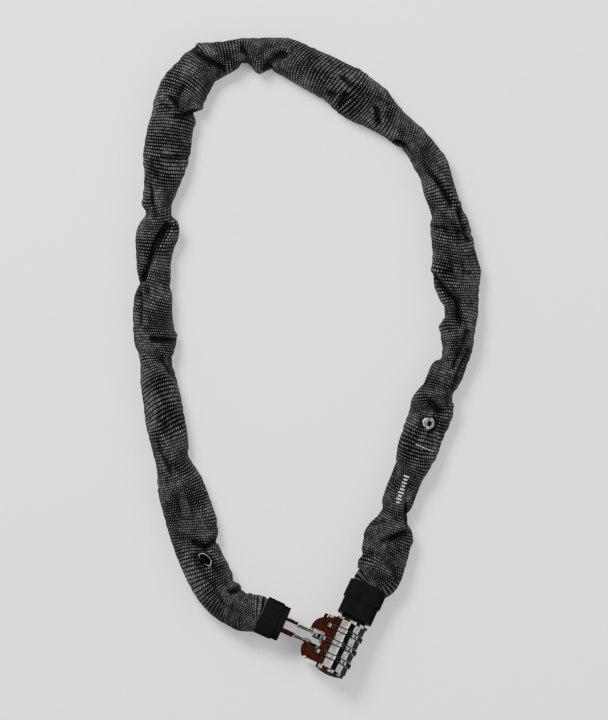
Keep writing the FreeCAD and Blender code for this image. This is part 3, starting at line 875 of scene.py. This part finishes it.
def sleeve_surface():
    """Outer skin by rings and spokes, distance along, painted shade, and the cloth's own rows."""
    rows, along = smooth_curve(sleeve_path(), ring_step)
    centres, half, tall = rows[:, :3], rows[:, 3], rows[:, 4]
    forward = np.gradient(centres, axis=0)
    forward[:, 2] *= 0.6
    forward /= np.linalg.norm(forward, axis=1)[:, None]
    sides = np.cross(forward, [0, 0, 1.0])
    sides /= np.linalg.norm(sides, axis=1)[:, None]
    tops = np.cross(sides, forward)
    turn = np.arange(around_count) / around_count
    angle = turn * 2 * np.pi
    cosine, sine = np.cos(angle), np.sin(angle)
    ways = sides[:, None] * cosine[None, :, None] + tops[:, None] * sine[None, :, None]
    radius = 1 / np.sqrt((cosine / half[:, None]) ** 2 + (sine / tall[:, None]) ** 2)
    radius = radius * (1 + 0.05 * np.sin(2 * angle) ** 2)

    s, t = along[:, None], turn[None, :]
    distance_end = np.minimum(s, along[-1] - s)
    loose = np.clip((distance_end - 4) / 14, 0, 1)
    radius = radius + loose * loose_cloth(s, t, half, cosine)

    flat = (centres[:, None] + ways * radius[..., None])[..., :2]
    upper = np.clip((sine[None, :] + 0.35) / 0.7, 0, 1)
    upper = upper * upper * (3 - 2 * upper) * np.clip((distance_end - 3) / 9, 0, 1)
    radius, painted_shade_amount = press_creases(radius, flat, upper)
    radius = clear_of_links(radius, link_reach(centres, ways))
    points = centres[:, None] + ways * radius[..., None]
    floor = floor_gap * (1 + (1 + soft_noise(s, t, 14, 14, 9)) * 0.5)
    points[..., 2] = np.where(points[..., 2] < floor, floor, points[..., 2])

    # Painted shade in the hollows and creases and painted highlight on the ridges, kept per point.
    hollow = np.clip(blur(radius, 3.0, 3.0) - radius, -1, 1)
    shade = np.clip(0.42 + 0.32 * hollow + 0.6 * painted_shade_amount, 0, 1)
    bend = np.linalg.norm(np.gradient(forward, axis=0), axis=1) / ring_step
    cloth = np.cumsum(1 + 0.9 * blur(bend[:, None], 4, 0)[:, 0] * half) * ring_step
    drift = 3.2 * soft_noise(s, t, 75, 78, 11) + 0.6 * soft_noise(s, t, 26, 40, 12)
    cloth_rows = cloth[:, None] + np.clip(distance_end / 25, 0, 1) * drift
    return points, along, shade, cloth_rows


def surface_normals(points):
    along = np.gradient(points, axis=0)
    around = np.roll(points, -1, axis=1) - np.roll(points, 1, axis=1)
    normal = np.cross(along, around)
    normal /= np.linalg.norm(normal, axis=2)[..., None] + 1e-12
    outward = points - points.mean(axis=1)[:, None]
    if (normal * outward).sum() < 0:
        normal = -normal
    return normal


def hinge_points():
    joints = [joint for joint in frame["joints"] if joint["name"].startswith("chain_flex")]
    joints.sort(key=lambda joint: joint["name"])
    return [(joint, Vector(joint["pos_m"]) / MM) for joint in joints]


def sleeve_piece(name, skin, normals, first, last):
    """One stretch of the sleeve with its inner face and its two cut ends."""
    points, _, shade, cloth_rows = skin
    outer = points[first:last + 1]
    inner = outer - normals[first:last + 1] * cloth_thickness
    rings = last - first + 1
    count = around_count
    vertices = np.concatenate([outer.reshape(-1, 3), inner.reshape(-1, 3)]) * MM
    half = rings * count
    faces = []
    for ring in range(rings - 1):
        for spoke in range(count):
            after = (spoke + 1) % count
            a, b = ring * count + spoke, ring * count + after
            c, d = a + count, b + count
            faces.append((a, b, d, c))
            faces.append((half + b, half + a, half + c, half + d))
    for ring, flip in ((0, False), (rings - 1, True)):
        for spoke in range(count):
            after = (spoke + 1) % count
            a, b = ring * count + spoke, ring * count + after
            face = (b, a, half + a, half + b)
            faces.append(face[::-1] if flip else face)
    mesh = bpy.data.meshes.new(name)
    mesh.from_pydata(vertices.tolist(), [], faces)
    mesh.update()
    if (Vector(mesh.polygons[0].normal) @ Vector(normals[first, 0])) < 0:
        mesh.flip_normals()
    layer = mesh.uv_layers.new(name="weave")
    for face in mesh.polygons:
        spokes = [i % count for i in face.vertices]
        wrap = max(spokes) - min(spokes) > count / 2
        for corner, vertex in zip(face.loop_indices, face.vertices):
            ring = (vertex % half) // count
            spoke = vertex % count
            if wrap and spoke < count / 2:
                spoke += count
            row = cloth_rows[first + ring, vertex % count]
            layer.data[corner].uv = (spoke / count * sleeve_girth, row)
    # Painted shade and painted highlight per point, which the cloth's colour reads.
    depth = mesh.attributes.new("shade", "FLOAT", "POINT")
    both = np.tile(shade[first:last + 1].reshape(-1), 2)
    depth.data.foreach_set("value", both.astype(np.float32))
    for face in mesh.polygons:
        face.use_smooth = True
    mesh.materials.append(fabric)
    piece = bpy.data.objects.new(name, mesh)
    bpy.context.scene.collection.objects.link(piece)
    facing = normals[first:last + 1].reshape(-1, 3)
    mesh.normals_split_custom_set_from_vertices(np.concatenate([facing, -facing]).tolist())
    return piece


def ring_profile(turns, profile, squeeze=1.0):
    """Points of a profile of radius, height pairs turned about Z, its Y squeezed."""
    rows = []
    for turn in range(turns):
        angle = 2 * math.pi * turn / turns
        rows.append([(r * math.cos(angle), r * math.sin(angle) * squeeze, z) for r, z in profile])
    return np.array(rows)


def add_turned(name, rows, place, facing, turn, lean, material, body):
    """A turned part set square on the cloth, turned in its plane and leaned on its long side."""
    turns, count = rows.shape[:2]
    faces = []
    for row in range(turns):
        after = (row + 1) % turns
        for index in range(count - 1):
            faces.append((row * count + index, after * count + index,
                          after * count + index + 1, row * count + index + 1))
    square = Vector((0, 0, 1)).rotation_difference(facing).to_matrix().to_4x4()
    matrix = Matrix.Translation(Vector(place) * MM) @ square
    matrix = matrix @ Matrix.Rotation(math.radians(turn), 4, "Z")
    matrix = matrix @ Matrix.Rotation(math.radians(lean), 4, "X")
    vertices = [matrix @ (Vector(point) * MM) for point in rows.reshape(-1, 3)]
    piece = add_piece(name, vertices, faces, material, body)
    for face in piece.data.polygons:
        face.use_smooth = True
    return piece


def cloth_height(tree, x, y):
    """Height of the cloth's upper side at x, y, in millimetres."""
    hit = tree.ray_cast(Vector((x, y, 60)), Vector((0, 0, -1)))[0]
    return hit.z


def skin_tree(points):
    rings, spokes = points.shape[:2]
    faces = []
    for ring in range(rings - 1):
        for spoke in range(spokes):
            a, b = ring * spokes + spoke, ring * spokes + (spoke + 1) % spokes
            faces.append((a, b, b + spokes, a + spokes))
    return BVHTree.FromPolygons(points.reshape(-1, 3).tolist(), faces)


def cloth_facing(tree, x, y):
    """The way the cloth faces at x, y, taken over a short span each way."""
    span = fitting_span
    slope_x = (cloth_height(tree, x + span, y) - cloth_height(tree, x - span, y)) / (2 * span)
    slope_y = (cloth_height(tree, x, y + span) - cloth_height(tree, x, y - span)) / (2 * span)
    return Vector((-slope_x, -slope_y, 1)).normalized()


def make_fittings(tree):
    """The snap's ring on the right run and the open eyelet on the left run."""
    x, y = fittings[0][:2]
    facing = cloth_facing(tree, x, y)
    place = (x, y, cloth_height(tree, x, y) + snap_lift)
    body = "chain_section_2"
    shown = add_turned("snap_ring", ring_profile(48, snap_ring), place, facing, 0, 0,
                      chrome, body)
    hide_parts("sleeve_snap_right")
    # Painted shade: a black cup stands for the dark inside the snap ring's hole.
    add_turned("snap_well_shade", ring_profile(32, snap_well_shade), place, facing, 0, 0,
               ink, body)

    x, y = fittings[1][:2]
    facing = cloth_facing(tree, x, y)
    top = cloth_height(tree, x, y)
    body = "chain_section_8"
    shown = add_turned("eyelet_rim", ring_profile(64, eyelet_rim, eyelet_squeeze),
                       (x, y, top + 0.1), facing, eyelet_turn, 15, chrome, body)
    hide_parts("sleeve_snap_left")
    # Painted shade: a flat black oval stands for the dark inside the eyelet's hole.
    add_turned("eyelet_hole_shade", ring_profile(48, eyelet_hole_shade, eyelet_squeeze + 0.04),
               (x - 0.6, y - 0.5, top + 0.8), facing, eyelet_turn, 6, ink, body)


def strip_on_cloth(tree, centre, turn, length, wide, bow):
    """A small strip laid on the cloth: its points and faces."""
    steps, lanes = 6, 3
    along = np.array((math.cos(turn), math.sin(turn)))
    across = np.array((-along[1], along[0]))
    vertices, faces = [], []
    for step in range(steps + 1):
        for lane in range(lanes):
            a, b = step / steps - 0.5, lane / (lanes - 1) - 0.5
            x, y = np.array(centre) + along * a * length + across * b * wide
            lift = strip_proud + bow * (1 - 4 * a * a) * (1 - 4 * b * b * 0.7)
            vertices.append(Vector((x, y, cloth_height(tree, x, y) + lift)) * MM)
    for step in range(steps):
        for lane in range(lanes - 1):
            a = step * lanes + lane
            faces.append((a, a + lanes, a + lanes + 1, a + 1))
    return vertices, faces


def make_trim(tree, blend_across):
    """The stitched seam below the snap, and a row of plain printed dashes."""
    for name, start, end, count, more, length, wide, bow, uneven, material in trims:
        line = np.array(end) - np.array(start)
        turn = math.atan2(line[1], line[0]) + math.radians(more)
        vertices, faces = [], []
        for index in range(count):
            centre = np.array(start) + line * (index + 0.5) / count
            shorter = length * (1 - uneven * (index * 3 % 5) / 5)
            points, quads = strip_on_cloth(tree, centre, turn, shorter, wide, bow)
            faces += [[len(vertices) + i for i in quad] for quad in quads]
            vertices += points
        mesh = bpy.data.meshes.new(name)
        mesh.from_pydata([tuple(v) for v in vertices], [], faces)
        mesh.materials.append(material)
        piece = bpy.data.objects.new(name, mesh)
        bpy.context.scene.collection.objects.link(piece)
        blend_across(piece)


def make_sleeve():
    skin = sleeve_surface()
    points, along = skin[:2]
    tree = skin_tree(points)
    make_fittings(tree)
    normals = surface_normals(points)
    centres = points.mean(axis=1)
    hinges = hinge_points()
    rings = [int(np.argmin(np.linalg.norm(centres[:, :2] - np.array(place)[:2], axis=1)))
             for _, place in hinges]
    middles = [(a + b) // 2 for a, b in zip(rings, rings[1:])]
    cuts = [0] + middles + [len(centres) - 1]
    for index, (joint, _) in enumerate(hinges):
        first, last = cuts[index], cuts[index + 1]
        piece = sleeve_piece("woven_sleeve_%d" % (index + 1), skin, normals, first, last)
        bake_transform(piece)
        if index == 0:
            make_trim(tree, lambda trim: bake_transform(trim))
        replaced = ["sleeve_%d" % (index + 1)] + (["sleeve_8"] if index == 6 else [])
        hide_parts(*replaced)


make_camera()
make_floor()
make_studio()
dress_cad_nodes()
make_marks()
make_sleeve()
